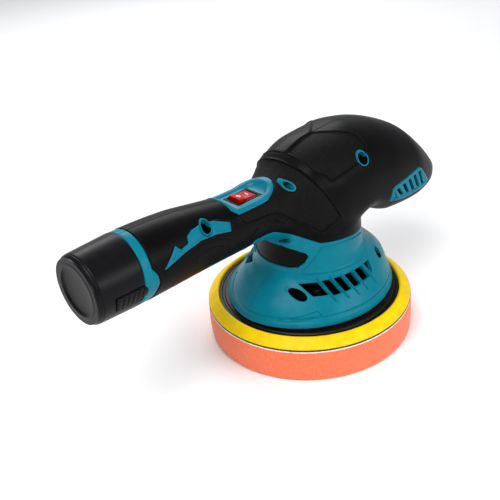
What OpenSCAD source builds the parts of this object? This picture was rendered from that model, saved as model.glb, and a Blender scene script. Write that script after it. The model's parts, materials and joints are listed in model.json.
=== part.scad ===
// Cordless dual action polisher, millimetres.
// Origin: centre of the foam pad's lower face, on the motor's axis. +Z up the motor,
// +X from the battery towards the nose. The housing splits on the plane y = 0.

/* [Pad] */
// Diameter of the foam polishing pad
pad_d = 150; // [120:1:180]
// Thickness of the polishing foam
pad_h = 23.5; // [12:0.5:35]
// Distance from the motor axis to the pad's own axis
orbit = 1.5; // [0.5:0.1:4]
// Radius of the backing plate's rim
plate_r = 66.4; // [50:0.1:80]

/* [Housing] */
// Thickness of the black outer skin
skin = 1.4; // [1:0.1:2.5]
// Thickness of the teal shell under the skin
wall = 2.0; // [1.2:0.1:3]
// Steps round a section of the housing
seg_n = 26; // [20:2:48]
// Height of the skirt's lower edge above the floor
skirt_z = 34; // [30:0.5:40]
// Angle the battery ring leans from square
ring_lean = 3.7; // [0:0.1:8]

/* [Battery] */
// Radius of the battery cap at the ring
batt_r = 23.0; // [20:0.1:26]
// Length of battery showing behind the ring
batt_len = 31.5; // [20:0.5:60]
// Radius of the battery stem inside the grip
stem_r = 20.2; // [18:0.1:22]
// Diameter of one cell
cell_d = 18.2; // [14:0.1:21]
// Length of one cell
cell_len = 46.5; // [34:1:70]

/* [Motor] */
// Radius of the motor can
can_r = 18; // [14:0.1:22]
// Length of the motor can
can_len = 54; // [40:1:66]
// Shaft diameter
shaft_d = 5; // [3:0.1:8]

/* [Switch] */
// Centre of the rocker switch along the tool
sw_x = -57; // [-70:0.5:-50]
// Height of the switch bezel's lower face
sw_z = 125.4; // [120:0.1:130]
// Angle the rocker swings between off and on
rocker_swing = 18; // [8:1:24]

/* [Hidden] */
$fn = 64;
e = 0.01;
shaft_r = shaft_d / 2;
can_z = 78;
bay_z = 117.8;           // axis of the battery stem
cap_z = 118.2;           // axis of the battery cap
ring_x = -153.5;         // rear face of the teal ring on the axis
bay_end = -129.5;        // blind end of the battery bay
rotor_gap = 0.05;        // radial running clearance
teal = [0.02, 0.42, 0.52];
black = [0.06, 0.06, 0.065];
steel = [0.72, 0.72, 0.74];

// grip, neck, head and nose: x, centre z, half width, top z, bottom z, upper and lower roundness
body_tab = [
  [-162, 118.2, 23.3, 141.5, 95, 2.0, 2.0],
  [-140, 118, 23, 141, 95, 2.0, 2.0],
  [-115, 117, 22.2, 139.2, 95, 2.05, 2.0],
  [-90, 114.8, 20.4, 135, 94.5, 2.1, 2.0],
  [-72, 113.2, 19.6, 131.7, 94, 2.3, 2.0],
  [-55, 113, 19.6, 130, 93.5, 2.6, 2.1],
  [-43, 111.5, 21.5, 131, 90, 2.4, 2.1],
  [-35, 110, 22.5, 131.4, 85, 2.3, 2.1],
  [-27, 109, 27, 134.8, 79, 2.3, 2.2],
  [-15, 108, 33.5, 143.3, 74, 2.3, 2.3],
  [5, 107, 39, 149, 75, 2.3, 2.4],
  [30, 106, 40.5, 150, 90, 2.3, 2.6],
  [50, 104, 40.5, 147, 81, 2.3, 3.2],
  [80, 99, 38.5, 136, 80, 2.3, 3.8],
  [98, 95, 34, 121.5, 81.5, 2.2, 3.8],
  [110, 93, 28, 108, 83, 2.1, 3.4],
  [117, 92, 19, 99, 86, 2.1, 2.8]];
body_x = [-162, -144, -130, -116, -102, -90, -79, -69, -59, -50, -43, -38, -33.5, -29,
  -22, -15, -6, 5, 18, 32, 46, 60, 73, 84, 93, 101, 107, 112, 117];

// skirt and collar: z, centre x, front length, rear length, half width, rear roundness
bell_tab = [
  [34, 0, 64, 64, 58.5, 1.85],
  [36.8, 0.3, 63.6, 63.5, 58.1, 1.85],
  [37.2, 0.5, 62.5, 62.7, 56.9, 1.8],
  [40, 1.5, 61.5, 62.8, 55.5, 1.68],
  [45, 3, 58.5, 61.8, 52.5, 1.55],
  [50, 5, 55.5, 59.8, 49.5, 1.48],
  [55, 6.5, 51.5, 54.8, 46.5, 1.5],
  [60, 6.5, 46.5, 48.2, 43.5, 1.65],
  [64, 5, 42.5, 43.4, 41.5, 1.85],
  [68, 2.5, 39.5, 39.9, 40, 2],
  [72, 0, 38, 37.6, 39, 2],
  [84, 0, 38, 38, 39, 2],
  [90, 0, 37.5, 37.5, 38.5, 2],
  [96, 0, 35.5, 35.5, 36, 2],
  [101, 0, 31, 31, 31, 2]];
bell_zs = [34, 36.8, 37.2, 40, 44, 48, 52, 56, 60, 63.5, 67, 71, 84, 90, 96, 101];

function seg(t, x, i = 0) = (i >= len(t) - 2 || x < t[i + 1][0]) ? i : seg(t, x, i + 1);
function grad(t, i, c) = (t[i + 1][c] - t[i][c]) / (t[i + 1][0] - t[i][0]);
function slope(t, i, c) = i == 0 ? grad(t, 0, c) : i == len(t) - 1 ? grad(t, i - 1, c) :
  let (a = grad(t, i - 1, c), b = grad(t, i, c)) a * b <= 0 ? 0 : 2 * a * b / (a + b);
function val(t, x, c) = let (i = seg(t, x), h = t[i + 1][0] - t[i][0], u = (x - t[i][0]) / h)
  (2*u*u*u - 3*u*u + 1) * t[i][c] + (u*u*u - 2*u*u + u) * h * slope(t, i, c)
  + (3*u*u - 2*u*u*u) * t[i + 1][c] + (u*u*u - u*u) * h * slope(t, i + 1, c);
function sgn_pow(v, p) = sign(v) * pow(abs(v), p);

function body_ring(x, i) =
  let (zc = val(body_tab, x, 1), w = val(body_tab, x, 2) - i, hu = val(body_tab, x, 3) - i - zc,
       hl = zc - val(body_tab, x, 4) - i, nu = val(body_tab, x, 5), nl = val(body_tab, x, 6),
       xs = x - i * max(0, (x - 92) / 25))
  [for (k = [0 : seg_n - 1]) let (a = 90 - 360 * k / seg_n, n = sin(a) >= -e ? nu : nl)
    [xs, w * sgn_pow(cos(a), 2 / n), zc + (sin(a) >= 0 ? hu : hl) * sgn_pow(sin(a), 2 / n)]];
function bell_ring(z, i, drop) =
  let (cx = val(bell_tab, z, 1), front = val(bell_tab, z, 2) - i,
       rear = val(bell_tab, z, 3) - i, ry = val(bell_tab, z, 4) - i, keel = val(bell_tab, z, 5))
  [for (k = [0 : 35]) let (a = -10 * k, ahead = cos(a) >= 0)
    [cx + (ahead ? front : rear) * cos(a), ry * sgn_pow(sin(a), ahead ? 1 : 2 / keel),
      z == 34 ? z - drop : z]];

// closed solid through a list of equal rings
module skinned(rings) {
  n = len(rings[0]);
  m = len(rings);
  pts = [for (r = rings) each r];
  polyhedron(pts, concat(
    [[for (k = [n - 1 : -1 : 0]) k]],
    [for (j = [0 : m - 2], k = [0 : n - 1]) let (k2 = (k + 1) % n)
      each [[j*n + k, j*n + k2, (j + 1)*n + k2], [j*n + k, (j + 1)*n + k2, (j + 1)*n + k]]],
    [[for (k = [0 : n - 1]) (m - 1)*n + k]]), convexity = 8);
}
module body_solid(i) { skinned([for (x = body_x) body_ring(x, i)]); }
module bell_solid(i, drop = 0) {
  skinned([for (z = bell_zs) bell_ring(z, i, drop)]);
}
module form(i, drop = 0) { union() { body_solid(i); bell_solid(i, drop); } }
module faceted() { $fn = 28; resize([0, 0, 0]) children(); }

// prisms seen from the side (x, z), from above (x, y) and from behind (y, z)
module side_cut(pts, s) {
  translate([0, s > 0 ? 70 : 0, 0]) rotate([90, 0, 0]) linear_extrude(70) polygon(pts);
}
module top_cut(pts, z0, z1) { translate([0, 0, z0]) linear_extrude(z1 - z0) polygon(pts); }
module back_cut(pts, x0, x1) {
  translate([x0, 0, 0]) rotate([90, 0, 90]) linear_extrude(x1 - x0) polygon(pts);
}
module half_space(s) {
  translate([-200, s > 0 ? 0 : -80, 0]) cube([340, 80, 200]);
}
module behind_ring(off = 0) {
  translate([ring_x + off, 0, cap_z]) rotate([0, ring_lean, 0])
    translate([-60, -40, -50]) cube([60, 80, 100]);
}
module y_rod(x, z, r, y0, y1) {
  translate([x, y1, z]) rotate([90, 0, 0]) cylinder(r = r, h = y1 - y0);
}

black_area = [[-145.3, 156], [-147.2, 124], [-144.2, 119], [-143.2, 113], [-145.6, 106],
  [-148.4, 100], [-149.4, 84], [-71, 84], [-69, 96.5], [-63.7, 103.6], [-48.3, 103.2],
  [-30.8, 93.6], [-20.2, 87.4], [-2.9, 86], [16, 82.8], [30, 78], [37, 75.5], [42, 72.6],
  [140, 72.6], [140, 156]];
vent_area = [[43.5, 94.5], [46, 103.4], [49, 105.2], [79, 108.2], [82.5, 106.4], [94, 92.4],
  [91, 90.2], [81, 89.6], [59, 90.8]];
trim_area = [[-140.5, 118.9], [-127.4, 129.6], [-124.6, 126.2], [-118.4, 127.2],
  [-117.2, 130.6], [-112.7, 132.2], [-103.5, 132.2], [-93.9, 130.2], [-82.9, 125.3],
  [-84.6, 119.9], [-97.3, 123.2], [-108.9, 124.6], [-122.5, 123.2]];
surround_area = [[-77.5, -12.5], [-74, -15.5], [-48.5, -15.5], [-42, -13], [-37.5, -9.5],
  [-34, -4], [-33.4, 0], [-34, 4], [-37.5, 9.5], [-42, 13], [-48.5, 15.5], [-74, 15.5],
  [-77.5, 12.5]];
rest_area = [[-27.2, 78], [-25, 72.6], [-20.8, 68.6], [-15, 67.6], [15, 67.6], [20.8, 68.6],
  [25, 72.6], [27.2, 78], [26, 80.6], [20.6, 83], [11, 85], [0, 85.6], [-11, 85],
  [-20.6, 83], [-26, 80.6]];
collar_panel = [[-20, 84.5], [0, 83.8], [18, 80], [25.5, 76.5], [26.5, 68], [16, 64.6],
  [-31, 64.2]];
skirt_slots = [[[-34.2, 58.4], [-24.9, 58.8], [-22.8, 51.2], [-31.8, 51.4]],
  [[-22.5, 59.2], [-17.6, 59.4], [-14.6, 50.6], [-20.4, 50.4]],
  [[-15.2, 59.6], [-9.9, 59.8], [-6.5, 50.9], [-12.1, 50.7]],
  [[-7.4, 60], [-1.4, 60.2], [2.1, 51.4], [-4, 51.1]],
  [[1.2, 60.4], [8.9, 60.6], [12.5, 52], [4.6, 51.7]],
  [[11.6, 60.8], [18.4, 61], [17.6, 54.5], [15.2, 53]]];
// fins between the slots: x at the top and at the foot
fin_x = [[-24.2, -20.6], [-17, -11.8], [-9.3, -3.6], [-0.8, 5], [9.6, 15.4]];
// nose slots: x and z of the top, z of the foot
vent_slots = [[52.6, 101.4, 94.6], [59.6, 102.6, 93.6], [66.6, 103.4, 93], [73.2, 104, 92.7],
  [79.6, 104.4, 92.6]];
// screws: x, z, radius of the recess, depth of the head below the outer face
screw_at = [[22.9, 133.8, 4], [-30.3, 128.8, 2.2], [-35.6, 89.8, 2.4], [-38, 52.6, 3.5],
  [33.8, 57.6, 3.5], [-101.7, 129.4, 3.6]];
head_y = -8.6;
rim_y = 7;                // screw rims start this far from the split

module vent_windows(s) {
  for (v = vent_slots) side_cut([[v[0] - 1.5, v[1]], [v[0] + 1.5, v[1] + 0.4],
    [v[0] + 6.9, v[2]], [v[0] + 3.6, v[2]]], s);
}

// one half of the teal clamshell: grip liner, head liner, collar, skirt, ring and ribs
module shell_mesh(s) {
  faceted() intersection() {
    half_space(s);
    difference() {
      union() {
        difference() {
          union() {
            form(skin);
            difference() { form(0); side_cut(black_area, s); }
            intersection() { bell_solid(-0.5); side_cut(collar_panel, s); }
            intersection() {
              form(0.1);
              for (p = screw_at)
                y_rod(p[0], p[1], p[2] + 1.1, s > 0 ? rim_y : -70, s > 0 ? 70 : -rim_y);
            }
            for (x = fin_x) intersection() {
              bell_solid(-0.9);
              side_cut([[x[0] - 0.7, 61], [x[0] + 0.7, 61], [x[1] + 0.8, 47], [x[1] - 0.8, 47]], s);
            }
          }
          form(skin + wall, 2);
          translate([-170, 0, bay_z]) rotate([0, 90, 0])
            cylinder(r = stem_r + 0.3, h = bay_end + 170, $fn = 48);
          back_cut([[-11.8, sw_z - 2.2], [11.8, sw_z - 2.2], [11.8, 140], [-11.8, 140]],
            sw_x - 14, sw_x + 14);
        }
        // bosses the screws run through
        intersection() {
          form(skin);
          for (p = screw_at) y_rod(p[0], p[1], p[2] + 1.2, s > 0 ? 0 : -70, s > 0 ? 70 : 0);
        }
        // seat under the motor plate, cradle round the motor, board rib, end of the bay
        intersection() {
          form(skin + 0.6);
          union() {
            difference() {
              translate([0, 0, 72]) cylinder(r = 40, h = 3);
              translate([0, 0, 71]) cylinder(r = 22, h = 5);
            }
            difference() {
              translate([-19.5, -60, 116]) cube([124.5, 120, 2.4]);
              translate([0, 0, 110]) cylinder(r = can_r + 0.3, h = 20);
            }
            difference() {
              translate([-100, -30, 80]) cube([2, 60, 27]);
              translate([-101, -5, 104]) cube([4, 10, 8]);
            }
            difference() {
              translate([bay_end, -30, 80]) cube([2, 60, 80]);
              translate([bay_end - 1, -12, 108]) cube([4, 24, 20]);
            }
          }
        }
      }
      // openings
      side_cut(vent_area, s);
      for (p = skirt_slots) side_cut(p, s);
      difference() {
        back_cut(rest_area, -45, -15);
        form(2.1);
      }
      behind_ring();
      // pocket for the release button's nose
      translate([-160, s > 0 ? 16 : -32, 106.5]) cube([10.4, 16, 11.6]);
    }
  }
}
module housing_half(s) {
  difference() {
    shell_mesh(s);
    for (p = screw_at)
      if (s < 0) {
        y_rod(p[0], p[1], 1.7, -20, 1);
        y_rod(p[0], p[1], p[2], -70, head_y);
      } else y_rod(p[0], p[1], 1.5, -1, 8);
  }
}
module right_housing() { color(teal) housing_half(-1); }
module left_housing() { color(teal) housing_half(1); }

// black skin, one half
module skin_mesh(s) {
  faceted() intersection() {
    half_space(s);
    side_cut(black_area, s);
    difference() {
      form(0);
      form(skin);
      side_cut(vent_area, s);
      side_cut(trim_area, s);
      top_cut(surround_area, 118, 160);
      for (p = screw_at, k = [-1, 1])
        y_rod(p[0], p[1], p[2] + 1.15, k > 0 ? rim_y : -70, k > 0 ? 70 : -rim_y);
      // dished panel on the shoulder of the head
      intersection() {
        side_cut([[-15.5, 152], [31, 152], [31, 143], [30, 138.5], [19, 132.6], [5, 130.7],
          [-7.5, 128.4], [-8.7, 131.8], [-14.8, 136.4], [-15.5, 142]], s);
        top_cut([[-20, 0], [10.5, 0], [20.7, 11 * s], [30, 19.6 * s], [32, 60 * s],
          [-20, 60 * s]], 100, 160);
        difference() { form(-1); form(0.5); }
      }
      // grooves round the neck panel and the lines on the grip
      intersection() {
        union() {
          for (g = [[[-21.4, 138], [-3.4, 100.9]], [[-3.4, 100.9], [-18.5, 94.4]],
                    [[-18.5, 94.4], [-45.5, 117]], [[-45.5, 117], [-71, 119.5]],
                    [[-71, 119.5], [-74.5, 125]], [[-87.6, 115.8], [-91.6, 104.7]]])
            let (d = g[1] - g[0], u = d / norm(d), w = [-u[1], u[0]] * 0.45)
              side_cut([g[0] + w, g[1] + w, g[1] - w, g[0] - w], s);
        }
        difference() { form(-1); form(0.6); }
      }
    }
  }
}
module right_overmould() { color(black) skin_mesh(-1); }
module left_overmould() { color(black) skin_mesh(1); }

module finger_rest() {
  color(black) faceted() intersection() {
    difference() { form(0.8); form(2.1); }
    back_cut(rest_area, -45, -15);
  }
}

module nose_vent(s) {
  color(teal) faceted() intersection() {
    side_cut(vent_area, s);
    half_space(s);
    difference() {
      form(0.15);
      form(skin + wall - 0.4);
      vent_windows(s);
      intersection() {
        side_cut([[46.2, 94.6], [48.6, 101.2], [53.4, 93.6]], s);
        difference() { form(-1); form(0.9); }
      }
    }
  }
}
module right_nose_vent() { nose_vent(-1); }
module left_nose_vent() { nose_vent(1); }

module grip_trim(s) {
  color(teal) faceted() intersection() {
    side_cut(trim_area, s);
    difference() {
      form(-0.4);
      form(skin);
      y_rod(-101.7, 129.4, 4.8, -70, 70);
    }
  }
}
module right_grip_trim() { grip_trim(-1); }
module left_grip_trim() { grip_trim(1); }

// frame round the rocker switch with its pocket and the scoop in front of it
module surround_mesh() {
  faceted() difference() {
    union() {
      intersection() {
        top_cut(surround_area, 118, 160);
        difference() { form(-0.3); form(skin); }
      }
      intersection() {
        translate([sw_x - 13.8, -11.6, sw_z - 2]) cube([27.6, 23.2, 12]);
        form(-0.3);
      }
    }
    translate([sw_x - 11, -9.6, sw_z]) cube([22, 19.2, 20]);
    // scoop that lets a finger push the front of the rocker
    translate([-41.5, 0, 138.4]) sphere(r = 9.2, $fn = 24);
  }
}
module switch_surround() {
  color(teal) difference() {
    surround_mesh();
    translate([sw_x - 9.7, -6.7, sw_z - 10]) cube([19.4, 13.4, 20]);
  }
}

// snap-in rocker switch
module switch_body() {
  color(black) difference() {
    union() {
      translate([sw_x - 10.5, -7.5, sw_z]) cube([21, 15, 1.6]);
      translate([sw_x - 9.6, -6.6, sw_z - 12]) cube([19.2, 13.2, 12.2]);
      for (x = [-6, 1.5]) translate([sw_x + x, -2.4, sw_z - 18]) cube([0.8, 4.8, 6.2]);
    }
    translate([sw_x - 8.4, -5.6, sw_z - 5.6]) cube([16.8, 11.2, 12]);
    y_rod(sw_x, sw_z - 0.4, 1.25, -6.3, 6.3);
  }
}
rock_pts = [[-7.1, 1.3], [-7.1, 4.1], [-6.3, 4.4], [0, 2.7], [6.6, 2.3], [7.6, 1.9],
  [7.4, 0.6], [4, -3.2], [-4, -3.6]];
module rocker() {
  color([0.75, 0.05, 0.04]) translate([sw_x, 0, sw_z - 0.4]) union() {
    translate([0, 5.3, 0]) rotate([90, 0, 0]) linear_extrude(10.6) polygon(rock_pts);
    y_rod(0, 0, 1.2, -6.2, 6.2);
  }
}
module rocker_marks() {
  color([0.92, 0.92, 0.9]) translate([sw_x, 0, sw_z - 0.4]) {
    translate([-3.4, 0, 3.63]) rotate([0, 15.1, 0]) difference() {
      cylinder(r = 1.5, h = 0.2, $fn = 40);
      translate([0, 0, -1]) cylinder(r = 1.0, h = 3, $fn = 40);
    }
    translate([3.6, 0, 2.49]) rotate([0, 3.5, 0]) translate([-0.3, -1.6, 0]) cube([0.6, 3.2, 0.2]);
  }
}

// ---- motor ----
module tube(z0, z1, ro, ri) {
  translate([0, 0, z0]) rotate_extrude() translate([ri, 0]) square([ro - ri, z1 - z0]);
}
module motor_can() {
  color(steel) difference() {
    translate([0, 0, can_z]) cylinder(r = can_r, h = can_len);
    translate([0, 0, can_z + 1.4]) cylinder(r = can_r - 1.3, h = can_len);
    translate([0, 0, can_z - 1]) cylinder(r = 6.5, h = 4);
    for (s = [-1, 1]) translate([12.5 * s, 0, can_z - 1]) cylinder(r = 1.5, h = 4);
    for (a = [45, 135, 225, 315]) rotate(a) translate([11, -1.6, can_z - 1]) cube([4.5, 3.2, 4]);
  }
}
module motor_end_bell() {
  color(black) difference() {
    union() {
      translate([0, 0, can_z + can_len]) cylinder(r = can_r, h = 4.6);
      translate([0, 0, can_z + can_len - 2]) cylinder(r = can_r - 1.35, h = 3);
    }
    translate([0, 0, can_z + can_len - 3]) cylinder(r = 12.6, h = 3.6);
    translate([0, 0, can_z + can_len + 0.4]) cylinder(r = 6.5, h = 9);
    for (s = [-1, 1]) translate([-9.1, 4 * s - 1.6, can_z + can_len - 3]) cube([2.2, 3.2, 12]);
    for (s = [-1, 1]) translate([-1.6, 12 * s - 3, can_z + can_len - 3]) cube([3.2, 6, 12]);
  }
}
module field_magnets() {
  color([0.25, 0.25, 0.27]) for (s = [0, 180]) rotate(s) translate([0, 0, can_z + 7])
    rotate([0, 0, -58]) rotate_extrude(angle = 116) translate([13.3, 0]) square([3.4, 40]);
}
module carbon_brushes() {
  color([0.2, 0.2, 0.2]) for (s = [-1, 1]) {
    translate([-1.5, s > 0 ? 5.9 : -11.9, can_z + can_len - 5.2]) cube([3, 6, 4]);
    translate([-1.4, s > 0 ? 9.1 : -11.9, can_z + can_len - 1.2]) cube([2.8, 2.8, 4.6]);
  }
}
module bearing(z, ro, ri, h) {
  translate([0, 0, z]) rotate_extrude() polygon([[ri, 0], [ri + 1.2, 0], [ri + 1.2, 0.4],
    [ro - 1.2, 0.4], [ro - 1.2, 0], [ro, 0], [ro, h], [ro - 1.2, h], [ro - 1.2, h - 0.4],
    [ri + 1.2, h - 0.4], [ri + 1.2, h], [ri, h]]);
}
module motor_bearings() {
  color(steel) {
    bearing(can_z, 6.5, shaft_r + rotor_gap, 4);
    bearing(can_z + can_len + 0.4, 6.5, shaft_r + rotor_gap, 4);
  }
}
module motor_mount_plate() {
  color(steel) difference() {
    translate([0, 0, 75]) cylinder(r = 33.6, h = 3);
    translate([0, 0, 74]) cylinder(r = 8, h = 5);
    for (s = [-1, 1]) translate([12.5 * s, 0, 74]) cylinder(r = 1.5, h = 5);
    for (a = [30, 90, 150, 210, 270, 330]) rotate(a) translate([25, 0, 74]) cylinder(r = 4.4, h = 5);
  }
}
module motor_screws() {
  color([0.3, 0.3, 0.32]) for (s = [-1, 1]) translate([12.5 * s, 0, 0]) difference() {
    union() {
      translate([0, 0, 72.8]) cylinder(r = 2.7, h = 2.2);
      translate([0, 0, 74.9]) cylinder(r = 1.5, h = 6.6);
    }
    translate([0, 0, 72.7]) cylinder(r = 1.2, h = 1.3, $fn = 6);
  }
}

// ---- rotor ----
module motor_shaft() {
  color(steel) translate([0, 0, 59]) cylinder(r = shaft_r, h = can_z + can_len + 5.2 - 59);
}
module armature_core() {
  color([0.35, 0.35, 0.38]) difference() {
    tube(can_z + 12, can_z + 44, 12.7, shaft_r);
    for (a = [0 : 72 : 288]) rotate(a) {
      translate([5.4, -2.6, can_z + 11]) cube([5.2, 5.2, 34]);
      translate([9, -0.7, can_z + 11]) cube([5, 1.4, 34]);
    }
  }
}
module windings() {
  color([0.72, 0.36, 0.12]) {
    for (a = [0 : 72 : 288]) rotate(a)
      translate([5.7, -2.3, can_z + 11.4]) cube([4.6, 4.6, 33.2]);
    tube(can_z + 7.4, can_z + 11.4, 11, 3.2);
    tube(can_z + 44.6, can_z + 47, 11, 3.2);
  }
}
module commutator() {
  color([0.75, 0.42, 0.2]) difference() {
    tube(can_z + 47.4, can_z + 53.4, 5.7, shaft_r);
    for (a = [0 : 72 : 288]) rotate(a + 36) translate([4.6, -0.25, can_z + 47]) cube([3, 0.5, 8]);
  }
}
module cooling_fan() {
  color([0.12, 0.12, 0.13]) difference() {
    union() {
      translate([0, 0, 62.6]) cylinder(r = 6.5, h = 7.6);
      translate([0, 0, 68.8]) cylinder(r = 30.5, h = 1.4);
      for (a = [0 : 30 : 330]) rotate(a) translate([13, -0.7, 62.8]) cube([17, 1.4, 6.2]);
    }
    translate([0, 0, 60]) cylinder(r = shaft_r, h = 12);
  }
}
module eccentric_hub() {
  color([0.62, 0.63, 0.65]) difference() {
    translate([0, orbit, 41.4]) cylinder(r = 17, h = 21);
    translate([0, orbit, 40]) cylinder(r = 13, h = 18);
    translate([0, 0, 57]) cylinder(r = shaft_r, h = 8);
    translate([0, 0, 60.3]) rotate([0, 90, 0]) cylinder(r = 1.25, h = 30);
  }
}
module counterweight() {
  color([0.45, 0.45, 0.47]) difference() {
    intersection() {
      translate([0, 0, 43.5]) cylinder(r = 27.5, h = 10);
      translate([-22, -40, 40]) cube([44, 34, 20]);
    }
    translate([0, orbit, 40]) cylinder(r = 17, h = 24);
  }
}
module eccentric_bearings() {
  color(steel) translate([0, orbit, 0]) { bearing(42, 13, 5, 8); bearing(50, 13, 5, 8); }
}

// ---- pad stack, on the eccentric axis ----
module pad_spindle() {
  color(steel) translate([0, orbit, 0]) {
    translate([0, 0, 31.8]) cylinder(r = 13.5, h = 3.4);
    translate([0, 0, 35.1]) cylinder(r = 6.6, h = 6.4);
    translate([0, 0, 41.4]) cylinder(r = 5 - rotor_gap, h = 16.2);
  }
}
module plate_bolts() {
  color([0.3, 0.3, 0.32]) translate([0, orbit, 0]) for (a = [0, 120, 240]) rotate(a)
    translate([10, 0, 35.2]) difference() {
      cylinder(r = 2.6, h = 2.4);
      translate([0, 0, 1]) cylinder(r = 1.4, h = 3, $fn = 6);
    }
}
module backing_plate() {
  color([0.05, 0.05, 0.05]) translate([0, orbit, 0]) rotate_extrude() polygon([[0, 28],
    [plate_r, 28], [plate_r, 30.4], [plate_r - 1.4, 31.2], [34, 31.2], [32, 31.8], [0, 31.8]]);
}
module backing_foam() {
  color([0.98, 0.83, 0.02]) translate([0, orbit, 0]) rotate_extrude() polygon([[0, 26],
    [pad_d/2 - 0.3, 26], [pad_d/2 - 0.4, 27.2], [plate_r + 2.6, 31.9], [plate_r + 1.7, 32.5],
    [plate_r + 0.6, 32.4], [plate_r, 31.6], [plate_r, 28], [0, 28]]);
}
module hook_disc() {
  color([0.05, 0.05, 0.05]) translate([0, orbit, pad_h + 1.4]) cylinder(r = pad_d/2 - 0.9, h = 1.1);
}
module loop_layer() {
  color([0.95, 0.88, 0.82]) translate([0, orbit, pad_h]) cylinder(r = pad_d/2 - 0.5, h = 1.4);
}
module foam_pad() {
  color([0.98, 0.5, 0.3]) translate([0, orbit, 0]) rotate_extrude() polygon([[0, 0],
    [pad_d/2 - 1, 0], [pad_d/2, 1], [pad_d/2, pad_h], [0, pad_h]]);
}

module housing_screws() {
  color([0.3, 0.3, 0.32]) for (p = screw_at) translate([p[0], 0, p[1]]) difference() {
    union() {
      y_rod(0, 0, 1.5, head_y - 0.1, 6);
      y_rod(0, 0, min(2.8, p[2] - 0.1), head_y - 2.2, head_y);
    }
    y_rod(0, 0, 1, head_y - 2.4, head_y - 1, $fn = 6);
  }
}

// ---- electrics ----
module control_board() {
  color([0.05, 0.3, 0.15]) difference() {
    translate([-114, -9, 107]) cube([30, 18, 1.6]);
    for (x = [-111.5, -86.5]) translate([x, 0, 106]) cylinder(r = 1.3, h = 4);
  }
}
module board_components() {
  color([0.2, 0.2, 0.22]) {
    translate([-104, -4, 108.6]) cube([7, 8, 2.2]);
    translate([-93, 4.2, 108.6]) cylinder(r = 3.2, h = 8);
    translate([-94, -6, 108.6]) cube([5, 4, 4.5]);
    translate([-109, 3, 108.6]) cube([3.5, 3, 1.4]);
  }
}
module terminal_block() {
  color(black) difference() {
    translate([bay_end + 2, -11.6, 108.4]) cube([9, 23.2, 19.2]);
    for (s = [-1, 1]) translate([bay_end + 1, 5 * s - 0.5, 114.8]) cube([12, 1, 6]);
  }
}
module terminal_blades() {
  color([0.8, 0.62, 0.25]) for (s = [-1, 1])
    translate([bay_end - 4, 5 * s - 0.5, 114.8]) cube([17, 1, 6]);
}
function unit(v) = v / norm(v);
// round insulated lead swept through its points, eight sides to the turn
module wire(p, r) {
  m = len(p) - 1;
  skinned([for (i = [0 : m]) let (d = unit(p[min(i + 1, m)] - p[max(i - 1, 0)]),
      u = unit(cross([0.21, 0.94, 0.27], d)), v = cross(d, u))
    [for (k = [0 : 7]) p[i] + r * (cos(90 - 45 * k) * u + sin(90 - 45 * k) * v)]]);
}
module supply_leads() {
  color([0.7, 0.05, 0.05]) for (s = [-1, 1]) {
    wire([[bay_end + 13.5, 5 * s, 117.8], [-113.5, 5 * s, 116.5], [-111, 6 * s, 113],
      [-110.4, 6 * s, 109.1]], 0.9);
    wire([[-87, 6.5 * s, 109.3], [-85.5, 6.5 * s, 111.8], [-75, 5 * s, 109], [-66, 2 * s, 104.5],
      [sw_x - 2 + 4.5 * s, 1.2 * s, 103.6], [sw_x - 1.85 + 3.75 * s, 1.2 * s, sw_z - 18]], 0.9);
  }
}
module motor_leads() {
  color([0.08, 0.08, 0.08]) for (s = [-1, 1])
    wire([[-83.8, 8 * s, 108.0], [-80, 8.5 * s, 107], [-60, 9 * s, 106], [-46, 10 * s, 106.5],
      [-38, 13 * s, 107.5], [-31, 17 * s, 110.5], [-25, 20 * s, 117], [-19, 21.2 * s, 124.5],
      [-12.5, 20.4 * s, 131.5], [-9, 18.4 * s, 136], [-8, 14 * s, 138.7], [-8, 9 * s, 139.2],
      [-8, 5.6 * s, 138.6], [-8, 4.2 * s, 136.8], [-8, 4 * s, 134]], 0.8);
}

// ---- battery pack, slides back along -X ----
module battery_case() {
  color(black) difference() {
    translate([ring_x - batt_len, 0, cap_z]) rotate([0, 90, 0]) rotate_extrude(start = 0)
      polygon([[0, 0], [17.4, 0], [19.6, 0.7], [20.9, 2.4], [21.4, 5], [22.1, 18],
        [batt_r, 30], [batt_r, batt_len + 6], [0, batt_len + 6]]);
    translate([ring_x - batt_len + 3, 0, bay_z]) rotate([0, 90, 0]) cylinder(r = stem_r, h = 60);
    translate([ring_x - 0.15, 0, cap_z]) rotate([0, ring_lean, 0])
      translate([0, -40, -50]) cube([60, 80, 100]);
    for (s = [-1, 1]) translate([-174, s > 0 ? 17 : -27, 107]) cube([24, 10, 10]);
  }
}
module battery_stem() {
  color([0.13, 0.13, 0.14]) difference() {
    translate([ring_x - batt_len + 3, 0, bay_z]) rotate([0, 90, 0])
      cylinder(r = stem_r, h = bay_end - 0.5 - (ring_x - batt_len + 3));
    for (a = [60, 180, 300]) translate([ring_x - batt_len + 2.9, 0, bay_z]) rotate([a, 0, 0])
      translate([0, 0, 10.7]) rotate([0, 90, 0]) cylinder(r = cell_d / 2, h = cell_len + 1);
    for (s = [-1, 1]) translate([bay_end - 5, 5 * s - 2, 114]) cube([6, 4, 7.6]);
    for (s = [-1, 1]) translate([-174, s > 0 ? 17.3 : -26.4, 106.4]) cube([23.4, 9.1, 11.2]);
  }
}
module battery_cells() {
  color([0.1, 0.35, 0.6]) for (a = [60, 180, 300]) translate([ring_x - batt_len + 3.6, 0, bay_z])
    rotate([a, 0, 0]) translate([0, 0, 10.7]) rotate([0, 90, 0]) {
      cylinder(r = cell_d / 2, h = cell_len - 1);
      translate([0, 0, cell_len - 1.1]) cylinder(r = 3, h = 1.1);
    }
}
module battery_contacts() {
  color([0.8, 0.62, 0.25]) for (s = [-1, 1], k = [-1, 1])
    translate([bay_end - 4.9, 5 * s + 1.3 * k - 0.35, 115.2]) cube([4.2, 0.7, 5.2]);
}
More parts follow.
